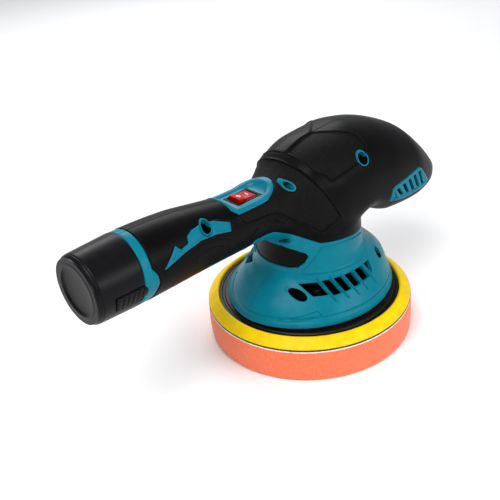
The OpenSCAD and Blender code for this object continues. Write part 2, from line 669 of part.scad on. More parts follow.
// ribbed catch on each flank of the pack
module release_button(s) {
  color([0.1, 0.1, 0.11]) difference() {
    union() {
      intersection() {
        translate([-173.6, s > 0 ? 19.6 : -26.4, 107.3]) cube([19.8, 6.8, 9.4]);
        translate([-180, 0, cap_z]) rotate([0, 90, 0]) cylinder(r = batt_r + 0.5, h = 40);
      }
      translate([-154.2, s > 0 ? 19.6 : -22.2, 107.8]) cube([3.4, 2.6, 8.4]);
    }
    for (x = [-171.5 : 3 : -157]) translate([x, s > 0 ? batt_r - 1.4 : -batt_r - 3.6, 106])
      cube([1.1, 5, 12]);
  }
}
module right_release_button() { release_button(-1); }
module left_release_button() { release_button(1); }

left_housing();
right_housing();
left_overmould();
right_overmould();
finger_rest();
left_nose_vent();
right_nose_vent();
left_grip_trim();
right_grip_trim();
switch_surround();
switch_body();
rocker();
rocker_marks();
motor_can();
motor_end_bell();
field_magnets();
carbon_brushes();
motor_bearings();
motor_mount_plate();
motor_screws();
motor_shaft();
armature_core();
windings();
commutator();
cooling_fan();
eccentric_hub();
counterweight();
eccentric_bearings();
pad_spindle();
plate_bolts();
backing_plate();
backing_foam();
hook_disc();
loop_layer();
foam_pad();
housing_screws();
control_board();
board_components();
terminal_block();
terminal_blades();
supply_leads();
motor_leads();
battery_case();
battery_stem();
battery_cells();
battery_contacts();
left_release_button();
right_release_button();
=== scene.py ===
"""Looks of the cordless dual action polisher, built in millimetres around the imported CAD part."""
import json
import math

import bpy
import numpy as np
from mathutils import Matrix, Vector


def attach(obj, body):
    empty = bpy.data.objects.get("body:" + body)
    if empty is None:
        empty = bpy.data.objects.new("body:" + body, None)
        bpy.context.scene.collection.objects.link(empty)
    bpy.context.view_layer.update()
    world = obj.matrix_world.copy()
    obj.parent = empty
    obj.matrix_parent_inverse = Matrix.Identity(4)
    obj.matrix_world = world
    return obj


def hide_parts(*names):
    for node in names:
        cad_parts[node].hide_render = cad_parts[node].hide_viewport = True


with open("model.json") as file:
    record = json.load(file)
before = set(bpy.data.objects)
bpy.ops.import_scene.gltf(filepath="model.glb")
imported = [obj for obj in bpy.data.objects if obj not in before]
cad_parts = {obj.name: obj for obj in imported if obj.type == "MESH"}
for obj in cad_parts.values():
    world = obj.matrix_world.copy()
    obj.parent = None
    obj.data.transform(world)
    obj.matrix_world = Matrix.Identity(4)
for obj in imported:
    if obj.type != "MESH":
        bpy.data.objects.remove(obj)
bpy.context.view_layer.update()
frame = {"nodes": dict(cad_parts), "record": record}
NODES = frame["nodes"]
MM = 0.001
RNG = np.random.default_rng(7)

# ---------------------------------------------------------------- sizes, in millimetres
STEP = 1.25                 # spacing of the moulded surfaces' vertices
SNAP = 0.22                 # a vertex this close to a cut line is moved onto it
SKIN = 1.4                  # black outer skin
SHELL = 3.4                 # skin and teal shell together
SKIRT_Z = 34.0
NOSE_X, NOSE_ROUND = 117.0, 7.0
BELL_TOP, FILLET = 101.0, 4.0
RING_X, CAP_Z, BATT_R, BATT_LEN = -153.5, 118.2, 23.0, 31.5
CAP_END = RING_X - BATT_LEN
LEAN = math.tan(math.radians(3.7))
BAY_Z, BAY_R, BAY_END = 117.8, 20.5, -129.5
SW_X, ROCKER_Z = -57.0, 125.0    # the rocker's pin
SWITCH_Z = 118.0            # the switch's outlines count above this height
POCKET_X, POCKET_Z = -47.0, 126.5    # the frame's floor rises ahead of here, from this height
ORBIT, PAD_R, PAD_H = 1.5, 75.0, 23.5
HEAD_Y = -8.6               # depth of the screw heads
RIM_Y = -7.0                # screw holes and rims start this far from the split
RIM = 0.7                   # width of the teal rim round a screw hole
TEAL_BAND = 2.6             # a screw well is teal down to this depth and black below, the black being painted shade in the hole
TRIM_HOLE = 4.8             # radius of the hole in the grip trim
GAP = 0.08                  # an inlay stops this far inside its outline
CAP_GAP = 0.15              # the cap stops this far from the ring and from its catches
NOTCH_X = -150.2            # the ring is notched for the catches behind here

# grip, neck, head and nose: x, centre z, half width, top z, bottom z, upper and lower roundness
BODY = [
    [-162, 118.2, 23.3, 141.5, 95, 2, 2], [-140, 118, 23, 141, 95, 2, 2],
    [-115, 117, 22.2, 139.2, 95, 2.05, 2], [-90, 114.8, 20.4, 135, 94.5, 2.1, 2],
    [-72, 113.2, 19.6, 131.7, 94, 2.3, 2], [-55, 113, 19.6, 130, 93.5, 2.6, 2.1],
    [-43, 111.5, 21.5, 131, 90, 2.4, 2.1], [-35, 110, 22.5, 131.4, 85, 2.3, 2.1],
    [-27, 109, 27, 134.8, 79, 2.3, 2.2], [-15, 108, 33.5, 143.3, 74, 2.3, 2.3],
    [5, 107, 39, 149, 75, 2.3, 2.4], [30, 106, 40.5, 150, 90, 2.3, 2.6],
    [50, 104, 40.5, 147, 81, 2.3, 3.2], [80, 99, 38.5, 136, 80, 2.3, 3.8],
    [98, 95, 34, 121.5, 81.5, 2.2, 3.8], [110, 93, 28, 108, 83, 2.1, 3.4],
    [118, 92, 19, 99, 86, 2.1, 2.8]]
# skirt and collar: z, centre x, front length, rear length, half width, rear roundness
BELL = [
    [30, 0, 64, 64, 58.5, 1.85], [36.8, 0.3, 63.6, 63.5, 58.1, 1.85],
    [37.2, 0.5, 62.5, 62.7, 56.9, 1.8], [40, 1.5, 61.5, 62.8, 55.5, 1.68],
    [45, 3, 58.5, 61.8, 52.5, 1.55], [50, 5, 55.5, 59.8, 49.5, 1.48],
    [55, 6.5, 51.5, 54.8, 46.5, 1.5], [60, 6.5, 46.5, 48.2, 43.5, 1.65],
    [64, 5, 42.5, 43.4, 41.5, 1.85], [68, 2.5, 39.5, 39.9, 40, 2], [72, 0, 38, 37.6, 39, 2],
    [84, 0, 38, 38, 39, 2], [90, 0, 37.5, 37.5, 38.5, 2], [96, 0, 35.5, 35.5, 36, 2],
    [101, 0, 31, 31, 31, 2]]

# outlines seen from the side (x, z); some points were read from the photograph by a program
BLACK = [[-145.3, 156], [-147.2, 124], [-144.2, 119], [-143.2, 113], [-145.6, 106],
         [-148.4, 100], [-149.4, 84], [-71, 84], [-69, 96.5], [-63.7, 103.6], [-48.3, 103.2],
         [-30.8, 93.6], [-20.2, 87.4], [-2.9, 86], [16, 82.8], [30, 78], [37, 75.5],
         [42, 72.6], [140, 72.6], [140, 156]]
VENT = [[43.5, 94.5], [46, 103.4], [49, 105.2], [79, 108.2], [82.5, 106.4], [94, 92.4], [91, 90.2],
        [81, 89.6], [59, 90.8]]
VENT_SLOTS = [[52.6, 101.4, 94.6], [59.6, 102.6, 93.6], [66.6, 103.4, 93], [73.2, 104, 92.7],
              [79.6, 104.4, 92.6]]    # x and z of the top, z of the foot
TRIM = [[-140.5, 118.9], [-127.4, 129.6], [-124.6, 126.2], [-118.4, 127.2], [-117.2, 130.6],
        [-112.7, 132.2], [-103.5, 132.2], [-93.9, 130.2], [-82.9, 125.3], [-84.6, 119.9],
        [-97.3, 123.2], [-108.9, 124.6], [-122.5, 123.2]]
COLLAR = [[-20, 84.5], [0, 83.8], [18, 80], [25.5, 76.5], [26.5, 68], [16, 64.6], [-31, 64.2]]
SHOULDER = [[-15.5, 156], [31, 156], [31, 143], [30, 138.5], [19, 132.6], [5, 130.7],
            [-7.5, 128.4], [-8.7, 131.8], [-14.8, 136.4], [-15.5, 142]]
SHOULDER_TOP = [[-30, -1.2], [9, -1.2], [20.7, -11], [30, -19.6], [34, -60], [-30, -60]]
NECK = [[-21.4, 138], [-18.4, 130.7], [-3.4, 100.9], [-18.5, 94.4], [-45.5, 117], [-71, 119.5],
        [-74.5, 125], [-80, 156], [-21.4, 156]]
SKIRT_SLOTS = [
    [[-34.2, 58.4], [-24.9, 58.8], [-22.8, 51.2], [-31.8, 51.4]],
    [[-22.5, 59.2], [-17.6, 59.4], [-14.6, 50.6], [-20.4, 50.4]],
    [[-15.2, 59.6], [-9.9, 59.8], [-6.5, 50.9], [-12.1, 50.7]],
    [[-7.4, 60], [-1.4, 60.2], [2.1, 51.4], [-4, 51.1]],
    [[1.2, 60.4], [8.9, 60.6], [12.5, 52], [4.6, 51.7]],
    [[11.6, 60.8], [18.4, 61], [17.6, 54.5], [15.2, 53]]]
FINS = [[-24.2, -20.6], [-17, -11.8], [-9.3, -3.6], [-0.8, 5], [9.6, 15.4]]    # x at top and foot
RIM_WEDGE = [[-56, 37.9], [-54.6, 39.3], [-34.4, 43.8], [-32.8, 41.0], [-44, 38.9], [-52, 37.6]]
NECK_MARKS = [[[-73, 109], [-64, 114], [-62, 113], [-71, 107]],
              [[-60, 113.6], [-55, 116], [-52.6, 113.8], [-55.6, 110.8], [-57, 113]],
              [[-50, 113.4], [-45, 115], [-38, 108.6], [-40, 106.6]]]
# seen from above (x, y) and from behind (y, z)
SURROUND = [[-77.5, -12.5], [-74, -15.5], [-48.5, -15.5], [-42, -13], [-37.5, -9.5],
            [-34, -4], [-33.4, 0], [-34, 4], [-37.5, 9.5], [-42, 13], [-48.5, 15.5],
            [-74, 15.5], [-77.5, 12.5]]
REST = [[-27.2, 78], [-25, 72.6], [-20.8, 68.6], [-15, 67.6], [15, 67.6], [20.8, 68.6],
        [25, 72.6], [27.2, 78], [26, 80.6], [20.6, 83], [11, 85], [0, 85.6], [-11, 85],
        [-20.6, 83], [-26, 80.6]]
# screws: x, z, radius of the recess
SCREWS = [[22.9, 133.8, 4], [-30.3, 128.8, 2.2], [-35.6, 89.8, 2.4], [-38, 52.6, 3.5],
          [33.8, 57.6, 3.5], [-101.7, 129.4, 3.6]]
# release catch, from the side
BUTTON = [[-173.6, 107.3], [-156, 107.3], [-152.6, 109.4], [-151.8, 112.2], [-152.6, 115],
          [-155, 116.7], [-173.6, 116.7]]


# ---------------------------------------------------------------- shape of the moulded body
def curve(table, column, x):
    """A column of a table as a smooth monotone curve through its rows."""
    t = np.array(table, float)
    xs, ys = t[:, 0], t[:, column]
    d = np.diff(ys) / np.diff(xs)
    m = np.concatenate([d[:1], np.zeros(len(d) - 1), d[-1:]])
    same = d[:-1] * d[1:] > 0
    m[1:-1][same] = 2 * d[:-1][same] * d[1:][same] / (d[:-1] + d[1:])[same]
    x = np.clip(x, xs[0], xs[-1])
    i = np.clip(np.searchsorted(xs, x, side="right") - 1, 0, len(xs) - 2)
    h = xs[i + 1] - xs[i]
    u = (x - xs[i]) / h
    return ((2 * u**3 - 3 * u**2 + 1) * ys[i] + (u**3 - 2 * u**2 + u) * h * m[i]
            + (3 * u**2 - 2 * u**3) * ys[i + 1] + (u**3 - u**2) * h * m[i + 1])


def section_distance(u, v, p, q, a, b):
    """Distance outside the section |u/a|^p + |v/b|^q = 1, exact near the line."""
    ru, rv = np.abs(u) / a, np.abs(v) / b
    f = ru**p + rv**q - 1
    slope = np.hypot(p * ru ** (p - 1) / a, q * rv ** (q - 1) / b)
    return f / np.maximum(slope, 0.004)


def smooth_min(a, b, k):
    h = np.maximum(k - np.abs(a - b), 0) / k
    return np.minimum(a, b) - h * h * k / 4


def smooth_max(a, b, k):
    return -smooth_min(-a, -b, k)


def grip_field(x, y, z):
    zc, w, top, bottom, upper, lower = (curve(BODY, k, x) for k in range(1, 7))
    up = z >= zc
    n = np.where(up, upper, lower)
    d = section_distance(y, z - zc, n, n, w, np.where(up, top - zc, zc - bottom))
    return smooth_max(d, x - NOSE_X, NOSE_ROUND)


def skirt_field(x, y, z):
    cx, front, rear, width, keel = (curve(BELL, k, z) for k in range(1, 6))
    ahead = x >= cx
    d = section_distance(x - cx, y, 2.0, np.where(ahead, 2.0, keel),
                         np.where(ahead, front, rear), width)
    return smooth_max(d, z - BELL_TOP, FILLET)


def form_field(x, y, z):
    return smooth_min(grip_field(x, y, z), skirt_field(x, y, z), FILLET)


def barrel_field(x, y, z):
    return np.hypot(y, z - CAP_Z) - BATT_R


def gradient(field, points, h=0.08):
    return np.stack([(field(*(points + o).T) - field(*(points - o).T)) / (2 * h)
                     for o in np.eye(3) * h], 1)


def unit(v):
    return v / np.maximum(np.linalg.norm(v, axis=1, keepdims=True), 1e-9)


def surface_nets(field, low, high, step):
    """Quads, as triangles, where the field changes sign on a grid."""
    axes = [np.arange(a, b + step, step) for a, b in zip(low, high)]
    d = field(*np.meshgrid(*axes, indexing="ij"))
    shape = np.array(d.shape)
    size = int(shape.prod())
    total, count, quads = np.zeros((size, 3)), np.zeros(size), []
    for axis in range(3):
        low_side = [slice(None)] * 3
        high_side = [slice(None)] * 3
        low_side[axis], high_side[axis] = slice(0, -1), slice(1, None)
        a, b = d[tuple(low_side)], d[tuple(high_side)]
        u, v = (axis + 1) % 3, (axis + 2) % 3
        at = np.argwhere((a < 0) != (b < 0))
        at = at[(at[:, u] > 0) & (at[:, v] > 0)]
        da, db = a[tuple(at.T)], b[tuple(at.T)]
        where = at.astype(float)
        where[:, axis] += da / (da - db)
        corners = []
        for du, dv in ((0, 0), (1, 0), (1, 1), (0, 1)):
            cell = at.copy()
            cell[:, u] -= du
            cell[:, v] -= dv
            flat = np.ravel_multi_index(tuple(cell.T), d.shape)
            corners.append(flat)
            count += np.bincount(flat, minlength=size)
            for k in range(3):
                total[:, k] += np.bincount(flat, where[:, k], minlength=size)
        quad = np.stack(corners, 1)
        outward = da < 0
        quads += [quad[outward], quad[~outward][:, ::-1]]
    quads = np.concatenate(quads)
    used, index = np.unique(quads, return_inverse=True)
    index = index.reshape(-1, 4)
    points = np.array(low) + step * total[used] / count[used, None]
    return points, np.concatenate([index[:, [0, 1, 2]], index[:, [0, 2, 3]]])


# ---------------------------------------------------------------- outlines as signed distances
def outline(points, columns):
    """Signed distance inside a closed outline, looking along one axis: positive inside."""
    corners = np.array(points, float)

    def signed(p):
        q = p[:, columns]
        best = np.full(len(q), 1e9)
        inside = np.zeros(len(q), bool)
        for a, b in zip(corners, np.roll(corners, -1, 0)):
            ab = b - a
            t = np.clip(((q - a) @ ab) / (ab @ ab), 0, 1)
            best = np.minimum(best, np.linalg.norm(q - a - t[:, None] * ab, axis=1))
            spans = (a[1] > q[:, 1]) != (b[1] > q[:, 1])
            rise = b[1] - a[1] if b[1] != a[1] else 1e-9
            inside ^= spans & (q[:, 0] < a[0] + (q[:, 1] - a[1]) * ab[0] / rise)
        return np.where(inside, best, -best)
    return signed


def side(points):
    return outline(points, [0, 2])


def above(points):
    return outline(points, [0, 1])


def circle(x, z, r):
    return lambda p: r - np.hypot(p[:, 0] - x, p[:, 2] - z)


def both(*parts):
    return lambda p: np.min([f(p) for f in parts], axis=0)


def either(*parts):
    return lambda p: np.max([f(p) for f in parts], axis=0)


def outside(part):
    return lambda p: -part(p)


def grown(part, by):
    return lambda p: part(p) + by


def line(points, half_width):
    """Signed distance inside a drawn line of the given half width, seen from the side."""
    pts = np.array(points, float)

    def signed(p):
        q = p[:, [0, 2]]
        best = np.full(len(q), 1e9)
        for a, b in zip(pts[:-1], pts[1:]):
            t = np.clip(((q - a) @ (b - a)) / ((b - a) @ (b - a)), 0, 1)
            best = np.minimum(best, np.linalg.norm(q - a - t[:, None] * (b - a), axis=1))
        return half_width - best
    return signed


def arc(cx, cz, r, a0, a1, n=10):
    return [[cx + r * math.cos(math.radians(a)), cz + r * math.sin(math.radians(a))]
            for a in np.linspace(a0, a1, n)]


def finger_area(p):
    return np.minimum(outline(REST, [1, 2])(p), -15 - p[:, 0])


def ahead_of_ring(p):
    return p[:, 0] - RING_X - (p[:, 2] - CAP_Z) * LEAN


black_area, vent_area, trim_area = side(BLACK), side(VENT), side(TRIM)
surround_area = both(above(SURROUND), lambda p: p[:, 2] - SWITCH_Z)
collar_area, neck_area = side(COLLAR), side(NECK)
shoulder_area = both(side(SHOULDER), above(SHOULDER_TOP))
button_area = side(BUTTON)
slot_area = either(*[side(s) for s in SKIRT_SLOTS])
fin_area = either(*[side([[a - 0.7, 61.2], [a + 0.7, 61.2], [b + 0.9, 47], [b + 0.6, 46],
                          [b - 0.3, 46], [b - 0.9, 47.2]]) for a, b in FINS])
vent_windows = either(*[side([[x - 1.5, z], [x + 1.5, z + 0.4], [x + 6.9, foot],
                              [x + 3.6, foot]]) for x, z, foot in VENT_SLOTS])
vent_corner = side([[46.2, 94.6], [48.6, 101.2], [53.4, 93.6]])


def off_centre(p):
    """Signed distance on the near side of the line where the screw holes start."""
    return RIM_Y - p[:, 1]


screw_rims = both(either(*[circle(x, z, r + RIM) for x, z, r in SCREWS]), off_centre)
screw_holes = both(either(*[circle(x, z, r) for x, z, r in SCREWS]), off_centre)


# ---------------------------------------------------------------- sheets cut from a surface
class Sheet:
    """Triangles on a smooth surface, cut along lines and then given relief and thickness."""

    def __init__(self, points, faces, field):
        self.p, self.f, self.field = points, faces, field
        self.fixed = np.zeros(len(points), bool)
        self.reliefs = []

    def copy(self):
        new = Sheet(self.p.copy(), self.f.copy(), self.field)
        new.fixed, new.reliefs = self.fixed.copy(), list(self.reliefs)
        return new

    def settle(self, which):
        p = self.p[which]
        for _ in range(2):
            g = gradient(self.field, p)
            p = p - (self.field(*p.T) / np.maximum((g * g).sum(1), 1e-6))[:, None] * g
        self.p[which] = p

    def cut(self, signed, level=0.0):
        s = signed(self.p) - level
        s[self.fixed & (np.abs(s) < 0.02)] = 0
        move = np.where((np.abs(s) < SNAP) & ~self.fixed)[0]
        if len(move):
            p = self.p[move]
            n = unit(gradient(self.field, p))
            g = gradient(lambda x, y, z: signed(np.stack([x, y, z], 1)), p)
            g -= (g * n).sum(1)[:, None] * n
            steep = (g * g).sum(1)
            ok = steep > 0.3
            move = move[ok]
            self.p[move] = p[ok] - (s[move] / steep[ok])[:, None] * g[ok]
            s[move] = 0
            self.fixed[move] = True
        sign = np.sign(s)
        crossed = np.stack([sign[self.f[:, k]] * sign[self.f[:, (k + 1) % 3]] < 0
                            for k in range(3)], 1)
        rows = np.where(crossed.any(1))[0]
        if not len(rows):
            return self
        f, crossed = self.f[rows], crossed[rows]
        ends = np.stack([f, np.roll(f, -1, 1)], 2)
        pairs = np.sort(ends[crossed], 1)
        pairs, index = np.unique(pairs, axis=0, return_inverse=True)
        i, j = pairs.T
        t = (s[i] / (s[i] - s[j]))[:, None]
        middle = np.full(crossed.shape, -1)
        middle[crossed] = len(self.p) + index.reshape(-1)
        self.p = np.concatenate([self.p, self.p[i] + t * (self.p[j] - self.p[i])])
        self.fixed = np.concatenate([self.fixed, np.ones(len(i), bool)])
        self.settle(np.arange(len(self.p) - len(i), len(self.p)))
        made = [np.delete(self.f, rows, 0)]
        for k in range(3):
            a, b, c = f[:, k], f[:, (k + 1) % 3], f[:, (k + 2) % 3]
            ab, bc, ca = middle[:, k], middle[:, (k + 1) % 3], middle[:, (k + 2) % 3]
            one = (ab >= 0) & (bc < 0) & (ca < 0)
            two = (ab >= 0) & (ca >= 0)
            made += [np.stack(t3, 1)[one] for t3 in ((a, ab, c), (ab, b, c))]
            made += [np.stack(t3, 1)[two] for t3 in ((a, ab, ca), (ab, b, c), (ab, c, ca))]
        self.f = np.concatenate(made)
        return self

    def keep(self, signed):
        self.cut(signed)
        self.f = self.f[signed(self.p[self.f].mean(1)) > 0]
        used, index = np.unique(self.f, return_inverse=True)
        self.p, self.fixed, self.f = self.p[used], self.fixed[used], index.reshape(-1, 3)
        return self

    def relief(self, signed, *profile):
        """Raises the surface by a profile of (distance inside the line, height) pairs."""
        for at, _ in profile:
            self.cut(signed, at)
        xs, hs = zip(*profile)
        self.reliefs.append(lambda p, h: h + np.interp(signed(p), xs, hs))
        return self

    def level(self, signed, height, edge=0.06):
        """Sets the surface to one height inside the line, with a steep wall round it."""
        self.cut(signed, 0)
        self.cut(signed, edge)

        def apply(p, h):
            m = np.interp(signed(p), [0, edge], [0, 1])
            return h * (1 - m) + height * m
        self.reliefs.append(apply)
        return self

    def finer(self):
        """Splits every triangle in four."""
        ends = np.stack([self.f, np.roll(self.f, -1, 1)], 2)
        pairs, index = np.unique(np.sort(ends.reshape(-1, 2), 1), axis=0, return_inverse=True)
        m = len(self.p) + index.reshape(-1, 3)
        self.p = np.concatenate([self.p, self.p[pairs].mean(1)])
        self.fixed = np.concatenate([self.fixed, self.fixed[pairs].all(1)])
        self.settle(np.arange(len(self.p) - len(pairs), len(self.p)))
        a, b, c = self.f.T
        ab, bc, ca = m.T
        self.f = np.concatenate([np.stack(t, 1) for t in
                                 ((a, ab, ca), (ab, b, bc), (ca, bc, c), (ab, bc, ca))])
        return self

    def solid(self, thickness, lowest=-1e9, warp=None):
        """Closed shell between the relief and the surface offset inwards."""
        n = unit(gradient(self.field, self.p))
        h = np.zeros(len(self.p))
        for apply in self.reliefs:
            h = apply(self.p, h)
        outer = self.p + n * h[:, None]
        inner = self.p - n * thickness
        inner[:, 2] = np.maximum(inner[:, 2], lowest)
        if warp:
            outer, inner = warp(outer, self.p), warp(inner, self.p)
        count = len(self.p)
        edges = np.concatenate([self.f[:, [0, 1]], self.f[:, [1, 2]], self.f[:, [2, 0]]])
        key = edges[:, 0] * count + edges[:, 1]
        back = edges[:, 1] * count + edges[:, 0]
        i, j = edges[~np.isin(key, back)].T
        walls = [np.stack([j, i, i + count], 1), np.stack([j, i + count, j + count], 1)]
        return (np.concatenate([outer, inner]),
                np.concatenate([self.f, self.f[:, ::-1] + count] + walls))


def joined(*parts):
    """Several (points, faces) pairs as one."""
    points, faces, base = [], [], 0
    for p, f in parts:
        points.append(p)
        faces.append(f + base)
        base += len(p)
    return np.concatenate(points), np.concatenate(faces)


def mirrored(part):
    return part[0] * [1, -1, 1], part[1][:, ::-1]


def loft(rings, caps=True, loop=False):
    """Closed solid through equal rings of points; loop joins the last ring to the first."""
    rings = np.array(rings, float)
    m, n = rings.shape[:2]
    index = np.arange(m * n).reshape(m, n)
    rows = index if loop else index[:-1]
    nxt = np.roll(index, -1, 0) if loop else index[1:]
    a, b = rows.reshape(-1), np.roll(rows, -1, 1).reshape(-1)
    d, c = nxt.reshape(-1), np.roll(nxt, -1, 1).reshape(-1)
    points, faces = rings.reshape(-1, 3), [np.stack([a, b, c], 1), np.stack([a, c, d], 1)]
    if caps and not loop:
        ends = np.array([rings[0].mean(0), rings[-1].mean(0)])
        points = np.concatenate([points, ends])
        k, k2 = index[0], np.roll(index[0], -1)
        faces.append(np.stack([k2, k, np.full(n, m * n)], 1))
        k, k2 = index[-1], np.roll(index[-1], -1)
        faces.append(np.stack([k, k2, np.full(n, m * n + 1)], 1))
    return points, np.concatenate(faces)


def turned(profile, centre=(0, 0), steps=240, loop=False, rough=0.0):
    """A profile of (radius, z) turned about a vertical axis, with an optional uneven skin."""
    a = np.linspace(0, 2 * math.pi, steps, endpoint=False)
    rings = []
    for r, z in profile:
        rr = r + rough * RNG.normal(size=steps) * (r > 5)
        rings.append(np.stack([centre[0] + rr * np.cos(a), centre[1] + rr * np.sin(a),
                               np.full(steps, float(z))], 1))
    return loft(rings, loop=loop)


def along_profile(points, spacing):
    """Extra points on the straight runs of a profile."""
    out = []
    for a, b in zip(points[:-1], points[1:]):
        n = max(1, int(math.dist(a, b) / spacing))
        out += [[a[0] + (b[0] - a[0]) * k / n, a[1] + (b[1] - a[1]) * k / n] for k in range(n)]
    return out + [points[-1]]


def rounded_box_ring(cx, cy, hx, hy, r, z, n=6):
    """One ring round a rounded rectangle at a height."""
    out = []
    for q, (sx, sy) in enumerate(((1, 1), (-1, 1), (-1, -1), (1, -1))):
        for a in np.linspace(90 * q, 90 * q + 90, n):
            out.append([cx + sx * (hx - r) + r * math.cos(math.radians(a)),
                        cy + sy * (hy - r) + r * math.sin(math.radians(a)), z])
    return out


# ---------------------------------------------------------------- materials
def linear(*rgb):
    return [((c / 255 + 0.055) / 1.055) ** 2.4 if c > 10 else c / 255 / 12.92 for c in rgb] + [1]


def material(name, dark, light, grain, rough, bump, bump_size, rough_to=None, metallic=0.0,
             coat=0.0, sheen=0.0, cells=False, subsurface=0.0, stretch=(1, 1, 1), gloss=0.5):
    """Colour mottled between two tones, with a grain in the roughness and a fine relief.
    grain and bump_size are the sizes of the marks in millimetres."""
    mat = bpy.data.materials.new(name)
    mat.use_nodes = True
    tree = mat.node_tree
    bsdf = tree.nodes["Principled BSDF"]
    place = tree.nodes.new("ShaderNodeTexCoord")
    scale = tree.nodes.new("ShaderNodeMapping")
    scale.inputs["Scale"].default_value = stretch
    tree.links.new(place.outputs["Object"], scale.inputs["Vector"])
    mottle = tree.nodes.new("ShaderNodeTexNoise")
    mottle.inputs["Scale"].default_value = 1000 / grain
    mottle.inputs["Detail"].default_value = 3
    tree.links.new(scale.outputs["Vector"], mottle.inputs["Vector"])
    ramp = tree.nodes.new("ShaderNodeValToRGB")
    ramp.color_ramp.elements[0].position, ramp.color_ramp.elements[0].color = 0.35, dark
    ramp.color_ramp.elements[1].position, ramp.color_ramp.elements[1].color = 0.65, light
    tree.links.new(mottle.outputs["Fac"], ramp.inputs["Fac"])
    tree.links.new(ramp.outputs["Color"], bsdf.inputs["Base Color"])
    worn = tree.nodes.new("ShaderNodeMapRange")
    worn.inputs["To Min"].default_value = rough
    worn.inputs["To Max"].default_value = rough_to if rough_to is not None else rough + 0.08
    tree.links.new(mottle.outputs["Fac"], worn.inputs["Value"])
    tree.links.new(worn.outputs["Result"], bsdf.inputs["Roughness"])
    if cells:
        relief = tree.nodes.new("ShaderNodeTexVoronoi")
        height = relief.outputs["Distance"]
    else:
        relief = tree.nodes.new("ShaderNodeTexNoise")
        relief.inputs["Detail"].default_value = 4
        height = relief.outputs["Fac"]
    relief.inputs["Scale"].default_value = 1000 / bump_size
    tree.links.new(scale.outputs["Vector"], relief.inputs["Vector"])
    node = tree.nodes.new("ShaderNodeBump")
    node.inputs["Strength"].default_value = bump
    node.inputs["Distance"].default_value = 0.0002
    tree.links.new(height, node.inputs["Height"])
    tree.links.new(node.outputs["Normal"], bsdf.inputs["Normal"])
    bsdf.inputs["Metallic"].default_value = metallic
    bsdf.inputs["Specular IOR Level"].default_value = gloss
    bsdf.inputs["Coat Weight"].default_value = coat
    bsdf.inputs["Coat Roughness"].default_value = 0.25
    bsdf.inputs["Sheen Weight"].default_value = sheen
    bsdf.inputs["Subsurface Weight"].default_value = subsurface
    bsdf.inputs["Subsurface Scale"].default_value = 0.002
    return mat


def metal(name, dark, light, rough, stretch=(1, 1, 1)):
    return material(name, dark, light, 6, rough, 0.15, 0.5, metallic=1.0, stretch=stretch)


MAT = {
    "teal_shell": material("teal_shell", linear(0, 108, 126), linear(0, 115, 134), 9, 0.30,
                           0.10, 0.45, gloss=0.10),
    "teal_trim": material("teal_trim", linear(0, 104, 126), linear(0, 111, 133), 9, 0.28,
                          0.06, 0.45, gloss=0.12),
    "black_grip": material("black_grip", linear(4, 4, 5), linear(7, 6, 8), 12, 0.34,
                           0.22, 0.55, rough_to=0.44, gloss=0.07),
    "black_stipple": material("black_stipple", linear(6, 6, 6), linear(17, 16, 17), 0.9,
                              0.48, 1.0, 0.75, rough_to=0.62, gloss=0.08, cells=True),
    "black_plastic": material("black_plastic", linear(4, 4, 5), linear(6, 6, 7), 8, 0.34,
                              0.1, 0.5, gloss=0.06),
    "red_rocker": material("red_rocker", linear(164, 3, 3), linear(180, 5, 5), 5, 0.18,
                           0.03, 0.5, gloss=0.25),
    "white_print": material("white_print", linear(232, 226, 222), linear(246, 242, 240), 2, 0.4,
                            0.05, 0.3),
    "zinc_steel": metal("zinc_steel", linear(158, 158, 164), linear(188, 188, 192), 0.3),
    "ferrite": material("ferrite", linear(52, 52, 56), linear(70, 70, 74), 3, 0.6, 0.3, 0.4),
    "carbon": material("carbon", linear(30, 30, 31), linear(44, 44, 45), 1.5, 0.6, 0.3, 0.3),
    "bearing_steel": metal("bearing_steel", linear(176, 178, 182), linear(206, 207, 210), 0.18,
                           (1, 1, 8)),
    "dark_steel": metal("dark_steel", linear(48, 48, 52), linear(72, 72, 76), 0.34),
    "lamination_steel": metal("lamination_steel", linear(96, 96, 102), linear(134, 134, 140),
                              0.4, (1, 1, 30)),
    "copper": metal("copper", linear(172, 88, 46), linear(206, 118, 66), 0.28, (1, 1, 14)),
    "cast_alloy": metal("cast_alloy", linear(140, 142, 146), linear(170, 172, 175), 0.42),
    "plate_nylon": material("plate_nylon", linear(10, 10, 11), linear(15, 15, 16), 6, 0.42,
                            0.2, 0.5, gloss=0.25),
    "yellow_foam": material("yellow_foam", linear(232, 192, 0), linear(242, 204, 0), 7, 0.42,
                            0.25, 0.5, subsurface=0.08, gloss=0.15),
    "hook_black": material("hook_black", linear(16, 16, 15), linear(30, 29, 26), 0.7, 0.8,
                           1.0, 0.6, sheen=0.3, cells=True),
    "pale_loop": material("pale_loop", linear(240, 214, 202), linear(255, 243, 236), 0.6, 0.85,
                          1.0, 0.5, sheen=0.5),
    "orange_foam": material("orange_foam", linear(232, 100, 58), linear(248, 126, 82), 0.7,
                            0.88, 1.0, 0.9, rough_to=0.98, sheen=0.25, cells=True,
                            subsurface=0.15),
    "board_green": material("board_green", linear(10, 72, 38), linear(18, 96, 52), 2.5, 0.28,
                            0.2, 0.8, coat=0.5),
    "contact_brass": metal("contact_brass", linear(196, 156, 74), linear(222, 184, 98), 0.24),
    "lead_red": material("lead_red", linear(160, 16, 14), linear(184, 24, 20), 3, 0.4, 0.1, 0.5),
    "lead_black": material("lead_black", linear(24, 24, 25), linear(34, 34, 35), 3, 0.4, 0.1,
                           0.5),
    "battery_black": material("battery_black", linear(9, 8, 11), linear(13, 12, 15), 8, 0.30,
                              0.12, 0.5, rough_to=0.40, gloss=0.11),
    "cell_blue": material("cell_blue", linear(24, 84, 150), linear(34, 98, 166), 6, 0.25, 0.05,
                          0.6, coat=0.4),
}


